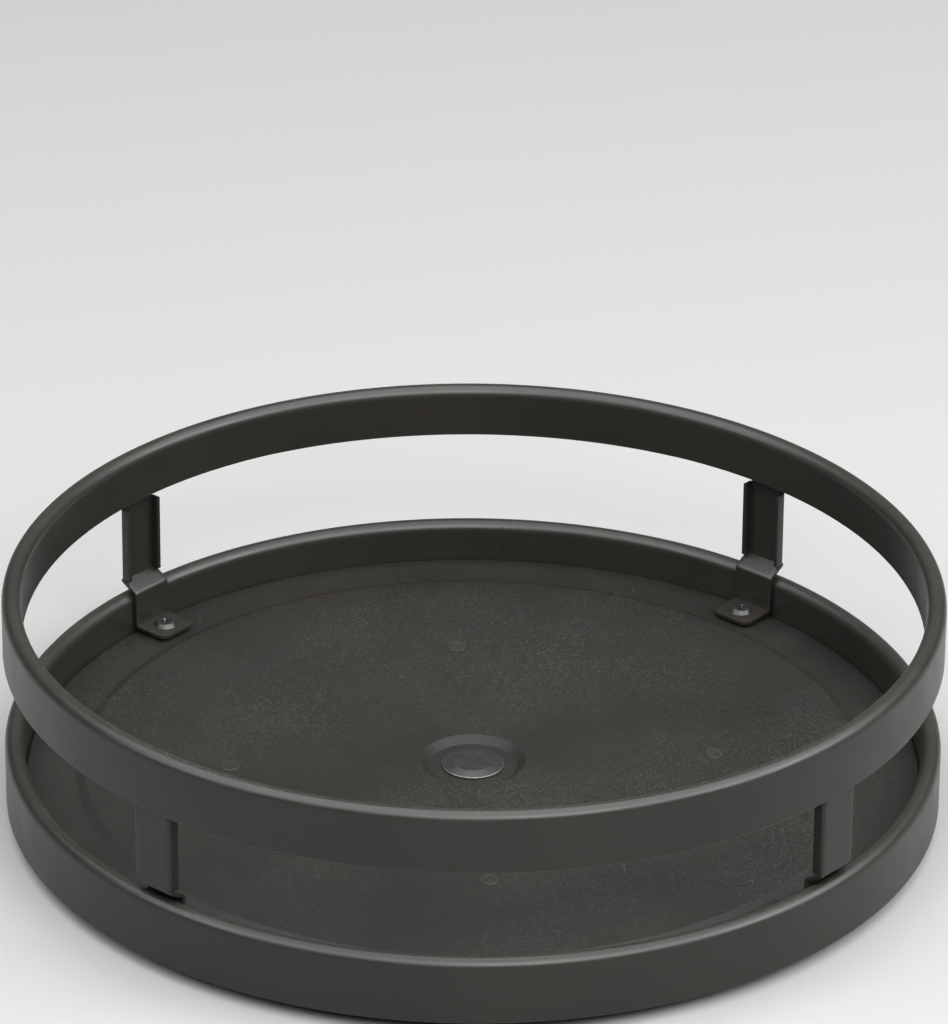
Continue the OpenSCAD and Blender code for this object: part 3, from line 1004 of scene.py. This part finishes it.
def add_softbox(name, place, aim, size, radiance):
    """A rectangular softbox of an even radiance, turned to face a point."""
    light = bpy.data.lights.new(name, "AREA")
    light.shape = "RECTANGLE"
    light.size, light.size_y = size
    light.energy = radiance * math.pi * size[0] * size[1]
    lamp = bpy.data.objects.new(name, light)
    lamp.location = place
    lamp.rotation_euler = (Vector(aim) - Vector(place)).to_track_quat("-Z", "Y").to_euler()
    bpy.context.scene.collection.objects.link(lamp)


def add_studio():
    """Pale floor, a softbox overhead, lower ones on all four sides, and a dim room."""
    add_floor()
    tray = (0, 0, 0.05)
    add_softbox("ceiling", (0.4, -0.4, 1.5), (0.4, -0.4, 0), (4.0, 2.6), 4.5)
    add_softbox("front_panel", (0.3, -1.7, 1.45), tray, (1.8, 0.8), 9.0)
    add_softbox("back_wall", (0.4, 2.3, 0.95), tray, (2.6, 1.2), 0.3)
    add_softbox("right_panel", (1.9, -0.5, 1.25), tray, (1.4, 0.9), 9.0)
    add_softbox("left_panel", (-1.8, -0.5, 1.25), tray, (1.1, 0.8), 6.0)
    world = bpy.data.worlds.new("room")
    world.use_nodes = True
    world.node_tree.nodes["Background"].inputs["Color"].default_value = (0.95, 0.97, 1, 1)
    world.node_tree.nodes["Background"].inputs["Strength"].default_value = 0.08
    bpy.context.scene.world = world
    bpy.context.scene.view_settings.view_transform = "Standard"


# Angles in degrees, lens in millimetres, the rest in metres
CAMERA_TARGET = (-0.0003, 0, 0.045)
CAMERA_AZIMUTH = -4
CAMERA_ELEVATION = 28.05
CAMERA_DISTANCE = 2.2
CAMERA_LENS = 241.9
CAMERA_AIM_UP = 1.351
CAMERA_ROLL = 0.474


def add_camera():
    """A long lens that looks down at the tray from the front, with the tray low in the picture."""
    a, e = math.radians(CAMERA_AZIMUTH), math.radians(CAMERA_ELEVATION)
    back = Vector((math.sin(a) * math.cos(e), -math.cos(a) * math.cos(e), math.sin(e)))
    data = bpy.data.cameras.new("camera")
    data.lens = CAMERA_LENS
    data.clip_start, data.clip_end = 0.1, 50
    camera = bpy.data.objects.new("camera", data)
    look = (-back).to_track_quat("-Z", "Y").to_matrix().to_4x4()
    pitch = Matrix.Rotation(math.radians(CAMERA_AIM_UP), 4, "X")
    roll = Matrix.Rotation(math.radians(CAMERA_ROLL), 4, "Z")
    stand = Matrix.Translation(Vector(CAMERA_TARGET) + back * CAMERA_DISTANCE)
    camera.matrix_world = stand @ look @ pitch @ roll
    bpy.context.scene.collection.objects.link(camera)
    bpy.context.scene.camera = camera


# ---------------------------------------------------------------- the making

add_studio()
add_camera()

coat = powder_coat("coat_bands", (0.0094, 0.0082, 0.0068, 1), (0.0124, 0.011, 0.0092, 1), specular=0.38)
# The tray's floor has the same powder coat as the bands, in darker colours: painted shade on the floor
# inside the tray. It is also less glossy and finely scratched.
floor_coat_painted_shade = powder_coat(
    "coat_floor_painted_shade", (0.0068, 0.006, 0.005, 1), (0.0096, 0.0085, 0.0072, 1),
    specular=0.22, matting=0.14, scratched=True,
)
zinc = zinc_plate("zinc_plate")
black = black_oxide("black_oxide")
natural_nylon = nylon("natural_nylon")

folded_hoop("rail_hoop", "guard_rail", RAIL_SEAM, coat)
folded_hoop("rim_hoop", "tray_rim", RIM_SEAM, coat)
floor_sheet(floor_coat_painted_shade)
for post, angle in POSTS.items():
    post_sheet(f"{post}_sheet", post, angle, coat)

post_screws(black)
post_nuts(zinc)
flush_rivets(coat)
pivot_bolt(black)
pivot_lock_nut(zinc)
pivot_washer(zinc)

base_sheet(coat)
base_rivets(zinc)
foot_rubber = rubber("foot_rubber")
for number in range(1, FEET + 1):
    rubber_foot(number, foot_rubber)

upper_rivet_r = rivet_circle("upper_race_rivets", RIVET_FLUSH_R)
lower_rivet_r = rivet_circle("lower_race_rivets", RIVET_HEAD_R)
race_ring("upper_race_ring", "upper_race", "turntable", upper_rivet_r, zinc)
race_ring("lower_race_ring", "lower_race", "base", lower_rivet_r, zinc)
cage_ring(natural_nylon)
finish_balls(ball_steel("ball_steel"))
thrust_ring(natural_nylon)
flanged_bushing(natural_nylon)
